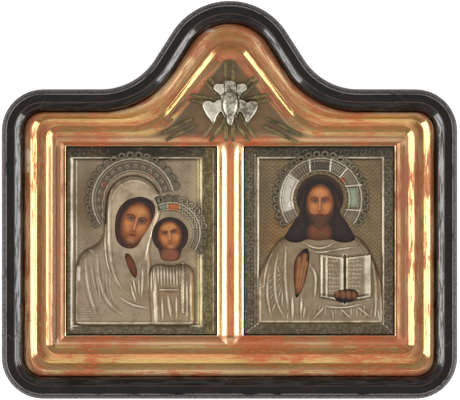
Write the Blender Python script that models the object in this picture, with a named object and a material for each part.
"""Double icon in a shaped wooden case, lying face up.

A black ogee-arched case holds a gilt moulded mount with two windows. In each window lies a painted
board under an embossed metal cover, with applied halos, and a silvered dove sits under the arch.
X runs to the viewer's right, Y towards the arch and Z out of the front. Sizes are in metres.
"""

import math

import bmesh
import bpy
from mathutils import Vector
from mathutils.geometry import delaunay_2d_cdt

for old in list(bpy.data.objects):
    bpy.data.objects.remove(old, do_unlink=True)

# Gap kept between pieces that touch
GAP = 0.0003

# Icons and the windows that they lie in
ICON_WIDTH = 0.0888
ICON_HEIGHT = 0.1111
ICON_THICKNESS = 0.012
WINDOW_WIDTH = ICON_WIDTH + 2 * GAP
WINDOW_HEIGHT = ICON_HEIGHT + 2 * GAP
WINDOW_SHIFT = 0.0005
MULLION = 0.0156

# Widths of the case's face and of the gilt moulding on each side
CASE_FACE = 0.0130
SIDE_MOULDING = 0.0239
BOTTOM_MOULDING = 0.0240
SHOULDER_MOULDING = 0.0205
ARCH_MOULDING = 0.0200

# Outline of the case
WIDTH = 2 * (CASE_FACE + SIDE_MOULDING + WINDOW_WIDTH) + MULLION
SHOULDER_HEIGHT = 2 * CASE_FACE + BOTTOM_MOULDING + WINDOW_HEIGHT + SHOULDER_MOULDING
ARCH_RISE = 0.0520
HEIGHT = SHOULDER_HEIGHT + ARCH_RISE
CORNER_RADIUS = 0.0245
ARCH_RADIUS = 0.0400
ARCH_SLOPE = 57.5
FOOT_RADIUS = 0.0375
LEAST_RADIUS = 0.0040

# Case section
DEPTH = 0.0400
EDGE_ROUND = 0.0026
EDGE_DROP = 0.0055
BEAD_WIDTH = 0.0008
BEAD_RISE = 0.0006
LAND_WIDTH = 0.0044
COVE_DROP = 0.0085
BACK_THICKNESS = 0.0050
REBATE_WIDTH = 0.0060

# Heights of the gilt mount's surface
CREST_DROP = 0.0068
MOUNT_EDGE_HEIGHT = DEPTH - COVE_DROP - 0.0012
OUTER_CREST_HEIGHT = DEPTH - CREST_DROP
OUTER_HOLLOW_HEIGHT = 0.0282
INNER_CREST_HEIGHT = 0.0302
FIELD_HEIGHT = 0.0256
MULLION_HEIGHT = 0.0272
SIGHT_HEIGHT = 0.0250
LIP_HEIGHT = 0.0228
WINDOW_EDGE_HEIGHT = 0.0220
LIP_WIDTH = 0.0012
SIGHT_WIDTH = 0.0053
TOP_SIGHT_WIDTH = 0.0034
CREST_CORNER = 0.0080

# Rays and dove
RAY_RISE = 0.0010
RAY_WIDTH = 0.0020
RAY_FOOTING = 0.0020
RAY_CENTRE_DROP = 0.0018
DOVE_HEIGHT = 0.0270
DOVE_EDGE = 0.0006
DOVE_BODY = 0.0030

# Metal covers
SHEET = 0.0008
COVER_HEIGHT = ICON_HEIGHT - 2 * GAP
COVER_WIDTH = ICON_WIDTH - 2 * GAP
MARGIN_RISE = 0.0009
BEAD = 0.0011
FOLD_RISE = 0.0009
FOLD_WIDTH = 0.0023
BODY_ROLL = 0.0065
FIGURE_RISE = 0.0026
CHILD_RISE = 0.0032
BOOK_RISE = 0.0040
DOT_STEP = 0.0034

# Halos
HALO_RADIUS = 0.0241
CHILD_HALO_RADIUS = 0.0176
HOOD_GAP_RADIUS = 0.0168
CHILD_GAP_RADIUS = 0.0132
HEAD_GAP_RADIUS = 0.0164
HALO_SHEET = 0.0008
HALO_RIM = 0.0006
HALO_EDGE = 0.0042
HALO_CLEARANCE = 0.0008
SCALLOP = 0.0011
SCALLOP_PITCH = 0.0052
PIN_RADIUS = 0.0009
PIN_FLATTEN = 0.6

# Smoothness of round stretches
CORNER_STEPS = 5
FOOT_STEPS = 5
ARCH_STEPS = 12

BOTTOM_Y = -HEIGHT / 2
SHOULDER_Y = BOTTOM_Y + SHOULDER_HEIGHT
WINDOW_BOTTOM = BOTTOM_Y + CASE_FACE + BOTTOM_MOULDING
WINDOW_TOP = WINDOW_BOTTOM + WINDOW_HEIGHT
ICON_X = (MULLION + WINDOW_WIDTH) / 2
ICON_Y = WINDOW_BOTTOM + WINDOW_HEIGHT / 2
BOARD_BASE = BACK_THICKNESS + GAP
COVER_BASE = BOARD_BASE + ICON_THICKNESS + GAP
GROUND = COVER_BASE + SHEET


def material(name, colour, roughness, metallic):
    made = bpy.data.materials.new(name)
    made.use_nodes = True
    surface = made.node_tree.nodes["Principled BSDF"]
    surface.inputs["Base Color"].default_value = (*colour, 1.0)
    surface.inputs["Roughness"].default_value = roughness
    surface.inputs["Metallic"].default_value = metallic
    return made


def finish(name, shape, look):
    """Closes a bmesh into a named object with outward normals and smooth shading."""
    bmesh.ops.remove_doubles(shape, verts=shape.verts, dist=1e-7)
    bmesh.ops.recalc_face_normals(shape, faces=shape.faces)
    mesh = bpy.data.meshes.new(name)
    shape.to_mesh(mesh)
    shape.free()
    mesh.shade_smooth()
    mesh.set_sharp_from_angle(angle=math.radians(35))
    mesh.materials.append(look)
    made = bpy.data.objects.new(name, mesh)
    bpy.context.scene.collection.objects.link(made)
    return made


def polar(centre, radius, turn):
    """The point at a distance and an angle in degrees from a centre."""
    angle = math.radians(turn)
    return Vector((centre[0] + radius * math.cos(angle), centre[1] + radius * math.sin(angle)))


def arc(centre, radius, start, end, steps):
    """Points on a circle from one angle to another, in degrees."""
    return [polar(centre, radius, start + (end - start) * k / steps) for k in range(steps + 1)]


def ogee_outline(side, bottom, shoulder, arch, slope, corner):
    """The case's outline, moved inwards by its own amount at the sides, bottom, shoulders and arch."""
    half = WIDTH / 2 - side
    low = BOTTOM_Y + bottom
    high = SHOULDER_Y - shoulder
    top_radius = max(ARCH_RADIUS - arch, LEAST_RADIUS)
    foot_radius = FOOT_RADIUS + (shoulder + arch) / 2
    top = HEIGHT / 2 - arch
    lean = math.radians(slope)
    curved = (top_radius + foot_radius) * (1 - math.cos(lean))
    straight = (top - high - curved) / math.sin(lean)
    foot_x = (top_radius + foot_radius) * math.sin(lean) + straight * math.cos(lean)
    points = arc((-half + corner, low + corner), corner, 180, 270, CORNER_STEPS)
    points += arc((half - corner, low + corner), corner, 270, 360, CORNER_STEPS)
    points += arc((half - corner, high - corner), corner, 0, 90, CORNER_STEPS)
    points += arc((foot_x, high + foot_radius), foot_radius, -90, -90 - slope, FOOT_STEPS)
    points += arc((0, top - top_radius), top_radius, 90 - slope, 90 + slope, ARCH_STEPS)
    points += arc((-foot_x, high + foot_radius), foot_radius, slope - 90, -90, FOOT_STEPS)
    points += arc((-half + corner, high - corner), corner, 90, 180, CORNER_STEPS)
    return points


def even_outline(inset):
    """The case's outline moved inwards by the same amount all round."""
    corner = max(CORNER_RADIUS - inset, LEAST_RADIUS)
    return ogee_outline(inset, inset, inset, inset, ARCH_SLOPE, corner)


def ring_solid(name, section, look):
    """Sweeps a closed section of (inset, height) points round the case's outline."""
    shape = bmesh.new()
    loops = []
    for inset, height in section:
        loops.append([shape.verts.new((*point, height)) for point in even_outline(inset)])
    for first, second in zip(loops, loops[1:] + loops[:1]):
        for k in range(len(first)):
            n = (k + 1) % len(first)
            shape.faces.new((first[k], first[n], second[n], second[k]))
    return finish(name, shape, look)


def inside(point, polygon):
    """Whether a point lies inside a closed polygon."""
    found = False
    for first, second in zip(polygon, polygon[1:] + polygon[:1]):
        if (first[1] > point[1]) != (second[1] > point[1]):
            share = (point[1] - first[1]) / (second[1] - first[1])
            if point[0] < first[0] + share * (second[0] - first[0]):
                found = not found
    return found


def distance(point, path, closed=False):
    """Shortest distance from a point to a path."""
    ends = path[1:] + path[:1] if closed else path[1:]
    nearest = math.inf
    for first, second in zip(path, ends):
        along = second - first
        share = (point - first).dot(along) / max(along.length_squared, 1e-12)
        nearest = min(nearest, (point - first - along * min(max(share, 0), 1)).length)
    return nearest


def rounded(points, rounds=2):
    """A closed outline with its corners cut twice, so that a few points give a soft curve."""
    for _ in range(rounds):
        cut = []
        for first, second in zip(points, points[1:] + points[:1]):
            cut += [first.lerp(second, 0.25), first.lerp(second, 0.75)]
        points = cut
    return points


def triangles(points, edges, outline, holes):
    """Triangles between the given edges that lie in the outline and outside its holes."""
    spots, _, faces, sources, _, _ = delaunay_2d_cdt(points, edges, [], 0, 1e-8)
    kept = []
    for face in faces:
        middle = sum((spots[k] for k in face), Vector((0, 0))) / 3
        if inside(middle, outline) and not any(inside(middle, hole) for hole in holes):
            kept.append(face)
    return spots, kept, sources


def relief_solid(name, outline, holes, lines, dots, height, base, look):
    """A plate with a flat back and a modelled front.

    Outline, holes and lines are paths of 2D points, and height gives the front's height at a point.
    """
    points = []
    edges = []
    for path, closed in [(outline, True)] + [(hole, True) for hole in holes] + lines:
        start = len(points)
        points += path
        edges += [(start + k, start + k + 1) for k in range(len(path) - 1)]
        if closed:
            edges.append((len(points) - 1, start))
    points += dots
    spots, faces, _ = triangles(points, edges, outline, holes)
    counts = {}
    for face in faces:
        for first, second in zip(face, face[1:] + face[:1]):
            counts.setdefault(frozenset((first, second)), []).append((first, second))
    rim = [sides[0] for sides in counts.values() if len(sides) == 1]
    order = sorted({k for side in rim for k in side})
    place = {k: n for n, k in enumerate(order)}
    low_edges = [(place[first], place[second]) for first, second in rim]
    low_spots, low_faces, sources = triangles([spots[k] for k in order], low_edges, outline, holes)
    shape = bmesh.new()
    top = {k: shape.verts.new((*spots[k], height(spots[k]))) for face in faces for k in face}
    low = {k: shape.verts.new((*spots[k], base)) for k in order}
    for face in faces:
        shape.faces.new([top[k] for k in face])
    for face in low_faces:
        shape.faces.new([low[order[sources[k][0]]] for k in reversed(face)])
    for first, second in rim:
        shape.faces.new((top[second], top[first], low[first], low[second]))
    return finish(name, shape, look)


def spread(outline, holes, lines, step):
    """Evenly spaced points inside an outline that keep clear of every line."""
    paths = [(outline, True)] + [(hole, True) for hole in holes] + lines
    left, right = min(p.x for p in outline), max(p.x for p in outline)
    low, high = min(p.y for p in outline), max(p.y for p in outline)
    dots = []
    row = 0
    y = low + step / 2
    while y < high:
        x = left + step / 2 * (1 + row % 2)
        while x < right:
            dot = Vector((x, y))
            clear = inside(dot, outline) and not any(inside(dot, hole) for hole in holes)
            if clear and min(distance(dot, path, closed) for path, closed in paths) > 0.42 * step:
                dots.append(dot)
            x += step
        y += step * math.sqrt(3) / 2
        row += 1
    return dots


def rectangle(left, right, low, high):
    return [Vector((left, low)), Vector((right, low)), Vector((right, high)), Vector((left, high))]


# Case: section up the outside, over the face, down the inside and round the rebate for the back
def case_section():
    edge_height = DEPTH - BEAD_RISE
    section = [(0, 0)]
    for k in range(5):
        turn = math.pi / 2 * k / 4
        section.append((EDGE_ROUND * (1 - math.cos(turn)), edge_height - EDGE_DROP * (1 - math.sin(turn))))
    land = EDGE_ROUND + BEAD_WIDTH
    section += [(EDGE_ROUND + BEAD_WIDTH / 2, DEPTH), (land, edge_height), (land + LAND_WIDTH, edge_height)]
    cove_width = CASE_FACE - land - LAND_WIDTH
    for k in range(1, 4):
        share = k / 3
        drop = COVE_DROP * (0.6 * share + 0.4 * share * share)
        section.append((land + LAND_WIDTH + cove_width * share, edge_height - drop))
    section += [(CASE_FACE, BOARD_BASE), (CASE_FACE - REBATE_WIDTH, BOARD_BASE)]
    section.append((CASE_FACE - REBATE_WIDTH, 0))
    return section


def make_back_board(look):
    shape = bmesh.new()
    outline = even_outline(CASE_FACE - REBATE_WIDTH + GAP)
    face = shape.faces.new([shape.verts.new((*point, 0)) for point in outline])
    grown = bmesh.ops.extrude_face_region(shape, geom=[face])
    raised = [item for item in grown["geom"] if isinstance(item, bmesh.types.BMVert)]
    bmesh.ops.translate(shape, verts=raised, vec=(0, 0, BACK_THICKNESS))
    bmesh.ops.triangulate(shape, faces=[f for f in shape.faces if len(f.verts) > 4])
    return finish("back_board", shape, look)


# Stations of the gilt moulding, from the case inwards: shares of the moulding's width at the sides,
# shoulders and arch, then the arch's slope, the corner radius and the height
MOULDING = [
    (0.000, 0.000, 0.000, ARCH_SLOPE, CASE_FACE - 0.0018, MOUNT_EDGE_HEIGHT),
    (0.146, 0.078, 0.170, 56.5, CREST_CORNER + 0.0022, OUTER_CREST_HEIGHT),
    (0.240, 0.135, 0.290, 55.5, CREST_CORNER + 0.0015, (OUTER_CREST_HEIGHT + OUTER_HOLLOW_HEIGHT) / 2),
    (0.343, 0.200, 0.410, 54.5, CREST_CORNER + 0.0010, OUTER_HOLLOW_HEIGHT),
    (0.435, 0.300, 0.530, 53.5, CREST_CORNER + 0.0005, OUTER_HOLLOW_HEIGHT + 0.0006),
    (0.531, 0.385, 0.635, 52.5, CREST_CORNER, INNER_CREST_HEIGHT),
    (0.620, 0.500, 0.800, 51.5, CREST_CORNER - 0.0032, (INNER_CREST_HEIGHT + FIELD_HEIGHT) / 2),
    (0.710, 0.615, 1.000, 51.0, CREST_CORNER - 0.0060, FIELD_HEIGHT),
]


def moulding_loop(side, shoulder, arch, slope, corner):
    return ogee_outline(
        CASE_FACE + GAP + side * (SIDE_MOULDING - GAP),
        CASE_FACE + GAP + side * (BOTTOM_MOULDING - GAP),
        CASE_FACE + GAP + shoulder * (SHOULDER_MOULDING - GAP),
        CASE_FACE + GAP + arch * (ARCH_MOULDING - GAP),
        slope,
        corner,
    )


def make_rays(centre_y):
    """Pairs of narrow strips that radiate from the dove: angle, inner end, outer end and spacing."""
    pairs = [
        (90, 0.0135, 0.0258, 0.0044),
        (131, 0.0100, 0.0195, 0.0032),
        (45, 0.0080, 0.0220, 0.0032),
        (169, 0.0105, 0.0235, 0.0032),
        (11, 0.0100, 0.0240, 0.0032),
        (206, 0.0235, 0.0430, 0.0046),
        (334, 0.0235, 0.0460, 0.0048),
        (237, 0.0120, 0.0240, 0.0046),
        (270, 0.0100, 0.0210, 0.0040),
        (303, 0.0120, 0.0240, 0.0044),
    ]
    shape = bmesh.new()
    low = FIELD_HEIGHT - RAY_FOOTING
    high = FIELD_HEIGHT + RAY_RISE
    for angle, start, end, spacing in pairs:
        along = Vector((math.cos(math.radians(angle)), math.sin(math.radians(angle))))
        across = Vector((-along.y, along.x))
        for side in (-spacing / 2, spacing / 2):
            middle = Vector((0, centre_y)) + across * side
            corners = [
                middle + along * start - across * RAY_WIDTH / 2,
                middle + along * end - across * RAY_WIDTH / 2,
                middle + along * end + across * RAY_WIDTH / 2,
                middle + along * start + across * RAY_WIDTH / 2,
            ]
            face = shape.faces.new([shape.verts.new((*corner, low)) for corner in corners])
            grown = bmesh.ops.extrude_face_region(shape, geom=[face])
            raised = [item for item in grown["geom"] if isinstance(item, bmesh.types.BMVert)]
            bmesh.ops.translate(shape, verts=raised, vec=(0, 0, high - low))
    mesh = bpy.data.meshes.new("rays")
    bmesh.ops.recalc_face_normals(shape, faces=shape.faces)
    shape.to_mesh(mesh)
    shape.free()
    rays = bpy.data.objects.new("rays", mesh)
    rays.hide_render = True
    rays.display_type = "WIRE"
    bpy.context.scene.collection.objects.link(rays)
    return rays


def make_gilt_mount(look):
    """The gilt moulding, mullion and field as one piece with two windows, with the rays joined on."""
    heights = {}
    lines = []
    for *shares, slope, corner, height in MOULDING:
        loop = moulding_loop(*shares, slope, corner)
        lines.append((loop, True))
        heights.update({point.copy().freeze(): height for point in loop})
    holes = []
    for side in (-1, 1):
        middle = side * ICON_X + WINDOW_SHIFT
        steps = [(0, 0, WINDOW_EDGE_HEIGHT), (LIP_WIDTH, LIP_WIDTH, LIP_HEIGHT)]
        steps.append((SIGHT_WIDTH, TOP_SIGHT_WIDTH, SIGHT_HEIGHT))
        for step, top_step, height in steps:
            half = WINDOW_WIDTH / 2 + step
            ring = rectangle(middle - half, middle + half, WINDOW_BOTTOM - step, WINDOW_TOP + top_step)
            heights.update({point.copy().freeze(): height for point in ring})
            if step:
                lines.append((ring, True))
            else:
                holes.append(ring)
    ridge = [Vector((WINDOW_SHIFT, WINDOW_BOTTOM)), Vector((WINDOW_SHIFT, WINDOW_TOP))]
    heights.update({point.copy().freeze(): MULLION_HEIGHT for point in ridge})
    lines.append((ridge, False))
    known = list(heights.items())

    def height(spot):
        return min(known, key=lambda pair: (pair[0] - spot).length_squared)[1]

    outline = lines.pop(0)[0]
    mount = relief_solid("gilt_mount", outline, holes, lines, [], height, BOARD_BASE, look)
    field_top = HEIGHT / 2 - CASE_FACE - ARCH_MOULDING
    centre_y = (field_top + WINDOW_TOP) / 2 - RAY_CENTRE_DROP
    joined = mount.modifiers.new("rays", "BOOLEAN")
    joined.operation = "UNION"
    joined.object = make_rays(centre_y)
    return centre_y


def make_dove(centre_y, look):
    """Descending dove seen from its back: fanned tail above, spread wings, head below."""
    unit = DOVE_HEIGHT / 27
    side = [(0, 14.7), (3.2, 14.5), (4.2, 12.4), (8.6, 13.4), (11.0, 9.6), (6.2, 6.0), (4.8, 3.4)]
    side += [(8.0, 3.4), (9.6, 1.4), (12.6, 3.2), (17.2, 1.6), (15.6, -4.0), (12.2, -8.8)]
    side += [(9.6, -12.0), (8.4, -7.0), (5.4, -4.4), (4.2, -8.4), (2.0, -11.6)]
    right = [Vector((x, y)) * unit for x, y in side]
    left = [Vector((-x, y)) * unit for x, y in side[:0:-1]]
    tip = [Vector((0, -12.2)) * unit]
    centre = Vector((WINDOW_SHIFT, centre_y))
    outline = rounded([point + centre for point in (right + tip + left)[::-1]], 1)
    spine = [centre + Vector((0, y)) * unit for y in (11, 4, -2, -8)]
    shafts = []
    for mirror in (-1, 1):
        for x, y in ((8.0, -0.5), (13.5, -1.5), (10.0, -6.5)):
            root = centre + Vector((mirror * 5.5, 0)) * unit
            shafts.append(([root, centre + Vector((mirror * x, y)) * unit], False))

    def height(spot):
        place = (spot - centre) / unit
        body = max(0.0, 1 - (place.x / 5.2) ** 2 - ((place.y + 1.5) / 10.5) ** 2)
        wing = max(0.0, 1 - ((abs(place.x) - 10) / 7.0) ** 2 - ((place.y + 2.5) / 8.0) ** 2)
        fan = max(0.0, 1 - ((place.y - 11) / 7.0) ** 2) * (0.7 + 0.3 * math.cos(place.x * 1.6))
        rise = DOVE_BODY * max(math.sqrt(body), 0.45 * math.sqrt(wing), 0.3 * fan)
        return dove_base + DOVE_EDGE + rise

    dove_base = FIELD_HEIGHT + RAY_RISE + GAP
    lines = [(spine, False)] + shafts
    dots = spread(outline, [], lines, 0.0021)
    return relief_solid("dove", outline, [], lines, dots, height, dove_base, look)


def placed(points, centre):
    """Moves points written in millimetres on a cover 110.5 mm high to their place on the icon."""
    unit = COVER_HEIGHT / 110.5
    return [centre + Vector(point) * unit for point in points]


def swell(spot, outline, rise, roll):
    """Height of a pillow form that rises from its outline and levels off inside."""
    if not inside(spot, outline):
        return 0.0
    share = min(distance(spot, outline, True) / roll, 1.0)
    return rise * math.sqrt(1 - (1 - share) ** 2)


def fold(spot, path):
    """Height of a rounded drapery fold along a path."""
    share = distance(spot, path) / FOLD_WIDTH
    return FOLD_RISE * max(0.0, 1 - share * share)


def halo_outline(centre, inner, radius, start, end, fall=None, grow=0.0, scallop=SCALLOP):
    """A band open below, with a scalloped outer edge; fall gives the least inner radius by angle."""
    edge = radius + HALO_EDGE + grow
    steps = 4 * max(3, round(edge * math.radians(end - start) / SCALLOP_PITCH))
    outline = []
    for k in range(steps + 1):
        wave = scallop * (abs(math.sin(math.pi * k / 4)) - 0.5)
        outline.append(polar(centre, edge + wave, start + (end - start) * k / steps))
    for k in range(20, -1, -1):
        turn = start + (end - start) * k / 20
        reach = max(inner, fall(turn)) if fall else inner
        outline.append(polar(centre, reach - grow, turn))
    return outline


def make_cover(name, centre, insets, holes, bodies, folds, blocks, seats, look):
    """An embossed cover: raised margin and bead, swelling bodies with folds, and raised blocks.

    Under a halo's seat nothing rises above the margin.
    """
    half_width = COVER_WIDTH / 2
    half_height = COVER_HEIGHT / 2
    left, right, low, high = insets
    outline = rectangle(
        centre.x - half_width, centre.x + half_width, centre.y - half_height, centre.y + half_height
    )
    frame = rectangle(outline[0].x + left, outline[1].x - right, outline[0].y + low, outline[2].y - high)
    inner = rectangle(frame[0].x + BEAD, frame[1].x - BEAD, frame[0].y + BEAD, frame[2].y - BEAD)

    def height(spot):
        if not inside(spot, frame) or distance(spot, frame, True) < 1e-6:
            return GROUND + MARGIN_RISE
        rise = 0.0
        for body, body_rise in bodies:
            form = swell(spot, body, body_rise, BODY_ROLL)
            if form > 0:
                form += max((fold(spot, path) for path in folds), default=0) * min(form / body_rise, 1)
            rise = max(rise, form)
        for block, block_rise in blocks:
            if inside(spot, block):
                rise = max(rise, block_rise)
        if any(inside(spot, seat) or distance(spot, seat, True) < 1e-6 for seat in seats):
            rise = min(rise, MARGIN_RISE)
        return GROUND + rise

    lines = [(frame, True), (inner, True)]
    lines += [(body, True) for body, _ in bodies]
    lines += [(path, False) for path in folds]
    lines += [(block, True) for block, _ in blocks]
    lines += [(seat, True) for seat in seats]
    dots = spread(outline, holes, lines, DOT_STEP)
    return relief_solid(name, outline, holes, lines, dots, height, COVER_BASE, look)


def make_halo(name, band, centre, radius, start, end, look):
    """A flat applied halo with a raised rim."""
    rim = arc(centre, radius, start + 2, end - 2, 36)
    base = GROUND + MARGIN_RISE + GAP

    def height(spot):
        return base + HALO_SHEET + HALO_RIM * max(0.0, 1 - abs((spot - centre).length - radius) / BEAD)

    return relief_solid(name, band, [], [(rim, False)], [], height, base, look)


def make_board(name, centre, look):
    """A flat wooden board, painted on its face."""
    bpy.ops.mesh.primitive_cube_add(
        size=1,
        location=(centre.x, centre.y, BOARD_BASE + ICON_THICKNESS / 2),
        scale=(ICON_WIDTH - GAP, ICON_HEIGHT - GAP, ICON_THICKNESS),
    )
    board = bpy.context.object
    board.name = name
    board.data.materials.append(look)
    bpy.ops.object.transform_apply(location=False, rotation=False, scale=True)


def make_pin(name, centre, radius, turn, look):
    """A small domed pin head on a halo's outer band."""
    place = polar(centre, radius + HALO_EDGE / 2, turn)
    bpy.ops.mesh.primitive_uv_sphere_add(
        segments=10,
        ring_count=6,
        radius=PIN_RADIUS,
        location=(*place, GROUND + MARGIN_RISE + 2 * GAP + HALO_SHEET + PIN_FLATTEN * PIN_RADIUS),
    )
    pin = bpy.context.object
    pin.name = name
    pin.scale.z = PIN_FLATTEN
    bpy.ops.object.transform_apply(location=False, rotation=False, scale=True)
    pin.data.materials.append(look)
    pin.data.shade_smooth()


def opening(centre, radius, start, end, sides, steps=14):
    """A head-shaped opening: an arc closed below through a few points."""
    return arc(centre, radius, start, end, steps) + sides


def mother_and_child(centre, metal, enamel):
    def at(points):
        return placed(points, centre)

    face = [(-3.2, 26.1), (-9.8, 23.8), (-14.7, 17.8), (-16.3, 8.0), (-14.8, -1.2), (-9.0, -5.0)]
    face += [(-3.0, -4.2), (0.6, 2.0), (5.4, 9.5), (8.9, 18.0), (6.6, 23.6), (1.6, 26.0)]
    neck = [(-10.8, -7.4), (-7.0, -7.4), (-4.4, -12.0), (-2.3, -17.4), (-3.4, -23.3), (-7.5, -18.0)]
    mother = [(-4.7, 39.4), (-12.9, 37.3), (-19.1, 31.4), (-21.4, 22.6), (-21.7, 10.8), (-22.9, 1.4)]
    mother += [(-28.2, -3.3), (-35.2, -6.2), (-39.0, -14.0), (-39.6, -30.0), (-39.6, -49.4)]
    mother += [(9.4, -49.4), (8.3, -29.1), (4.7, -12.7), (4.4, -2.7), (7.7, 7.3), (11.2, 16.7)]
    mother += [(11.5, 25.5), (8.3, 32.6), (2.4, 37.3)]
    child = [(10.6, -13.6), (5.9, -15.0), (3.0, -20.9), (2.4, -35.0), (4.7, -49.4), (31.4, -49.4)]
    child += [(31.4, -29.1), (31.0, -19.0), (28.3, -14.6), (23.0, -13.6), (16.8, -15.0)]
    folds = [
        [(-17.8, 31.0), (-19.4, 20.0), (-19.6, 6.7), (-18.4, -12.1), (-15.2, -24.0), (-9.0, -31.0)],
        [(-26.6, -8.0), (-25.8, -23.3), (-19.7, -37.7), (-10.0, -44.6)],
        [(-33.4, -11.0), (-31.9, -29.1), (-26.4, -45.0)],
        [(6.8, 6.7), (1.8, -10.7)],
        [(-6.4, -26.0), (-3.6, -36.0)],
        [(0.6, -17.0), (0.0, -34.0)],
        [(8.2, -19.0), (8.4, -46.0)],
        [(14.6, -17.8), (14.6, -27.5)],
        [(23.8, -17.0), (24.2, -42.0)],
        [(9.6, -29.0), (22.6, -29.0)],
        [(15.5, -32.0), (17.5, -46.0)],
        [(29.0, -20.0), (29.2, -46.0)],
    ]
    head_centre = at([(16.85, 3.2)])[0]
    unit = COVER_HEIGHT / 110.5
    head = opening(head_centre, 10.9 * unit, -52, 232, at([(11.2, -11.4), (16.8, -12.4), (22.6, -11.4)]))
    holes = [rounded(at(face), 1), rounded(at(neck), 1), head]
    bodies = [(rounded(at(mother), 1), FIGURE_RISE), (rounded(at(child), 1), CHILD_RISE)]
    hood_side = 17.6 * unit

    def hood_edge(turn):
        return hood_side / math.cos(math.radians(turn - 180)) if turn > 180 else 0.0

    halos = [(at([(-5.0, 24.4)])[0], HOOD_GAP_RADIUS, HALO_RADIUS, 13, 218, hood_edge)]
    halos.append((at([(17.1, 5.0)])[0], CHILD_GAP_RADIUS, CHILD_HALO_RADIUS, -38, 114))
    make_cover(
        "mother_and_child_cover",
        centre,
        (0.0036, 0.0086, 0.0049, 0.0062),
        holes,
        bodies,
        [at(fold_path) for fold_path in folds],
        [],
        [halo_outline(*halo, grow=HALO_CLEARANCE, scallop=0.0) for halo in halos],
        metal,
    )
    for halo_name, halo in zip(("mother_halo", "child_halo"), halos):
        make_halo(halo_name, halo_outline(*halo), halo[0], *halo[2:5], enamel)


def blessing_figure(centre, metal, enamel, pins):
    def at(points):
        return placed(points, centre)

    unit = COVER_HEIGHT / 110.5
    shoulders = [(-15.4, 10.4), (-18.8, 5.2), (-21.2, 1.6), (-16.6, -1.2), (-11.0, -1.0), (-7.3, 1.2)]
    shoulders += [(0.0, -0.2), (6.9, 1.2), (12.0, -1.0), (17.6, -1.2), (22.3, 0.9), (19.4, 6.0), (16.2, 11.4)]
    head = opening(at([(0.6, 25.4)])[0], 14.1 * unit, -36, 216, at(shoulders))
    hand = [(-6.5, -3.8), (-10.5, -5.5), (-14.7, -11.1), (-15.2, -20.0), (-14.6, -29.0), (-13.6, -35.2)]
    hand += [(-9.4, -28.4), (-7.0, -20.0), (-5.3, -9.3)]
    holding = [(8.2, -30.6), (12.0, -29.0), (20.0, -28.2), (23.5, -30.4), (22.5, -35.2), (16.0, -37.0)]
    holding += [(10.0, -36.0)]
    robe = [(-21.8, 3.0), (-28.6, -6.0), (-33.4, -19.0), (-34.6, -34.0), (-34.6, -48.2), (36.6, -48.2)]
    robe += [(36.4, -26.0), (31.4, -7.5), (24.0, 3.0), (12.0, 4.5), (-8.0, 4.5)]
    left_page = [(0.9, -8.2), (14.7, -10.0), (14.7, -35.8), (0.9, -33.2)]
    right_page = [(15.9, -10.0), (30.8, -8.2), (30.8, -33.2), (15.9, -35.8)]
    folds = [
        [(-24.5, -8.0), (-26.6, -20.0), (-25.6, -36.0), (-20.6, -45.2)],
        [(-30.0, -20.0), (-31.0, -32.0), (-28.4, -45.0)],
        [(-19.6, -4.0), (-20.4, -20.0), (-18.4, -40.0)],
        [(-5.6, -14.0), (-1.4, -20.0), (-2.6, -34.0)],
        [(-8.4, -39.0), (-9.6, -46.0)],
        [(3.0, -39.0), (-3.0, -46.0)],
        [(12.5, -40.0), (19.0, -46.0)],
        [(22.5, -39.0), (31.0, -45.6)],
        [(27.0, -2.4), (33.4, -16.0), (33.6, -40.0)],
    ]
    halo = (at([(1.1, 24.8)])[0], HEAD_GAP_RADIUS, HALO_RADIUS, -37, 217)
    make_cover(
        "blessing_figure_cover",
        centre,
        (0.0080, 0.0060, 0.0061, 0.0062),
        [head, rounded(at(hand), 1), rounded(at(holding), 1)],
        [(rounded(at(robe), 1), FIGURE_RISE)],
        [at(fold_path) for fold_path in folds],
        [(at(left_page), BOOK_RISE), (at(right_page), BOOK_RISE)],
        [halo_outline(*halo, grow=HALO_CLEARANCE, scallop=0.0)],
        metal,
    )
    make_halo("blessing_figure_halo", halo_outline(*halo), halo[0], *halo[2:5], enamel)
    for number, turn in enumerate((148, 34, 196, 215), 1):
        make_pin(f"halo_pin_{number}", halo[0], HALO_RADIUS, turn, pins)


def main():
    black = material("ebonised wood", (0.020, 0.017, 0.016), 0.22, 0.0)
    gilt = material("gilt gesso", (0.60, 0.38, 0.20), 0.32, 0.9)
    back = material("pine back", (0.36, 0.24, 0.14), 0.70, 0.0)
    paint = material("painted panel", (0.10, 0.05, 0.03), 0.45, 0.0)
    metal = material("silver gilt sheet", (0.46, 0.38, 0.28), 0.35, 1.0)
    silver = material("silvered metal", (0.72, 0.70, 0.64), 0.28, 1.0)
    ring_solid("case_frame", case_section(), black)
    make_back_board(back)
    centre_y = make_gilt_mount(gilt)
    make_dove(centre_y, silver)
    left = Vector((WINDOW_SHIFT - ICON_X, ICON_Y))
    right = Vector((WINDOW_SHIFT + ICON_X, ICON_Y))
    make_board("mother_and_child_board", left, paint)
    make_board("blessing_figure_board", right, paint)
    mother_and_child(left, metal, silver)
    blessing_figure(right, metal, silver, silver)


main()
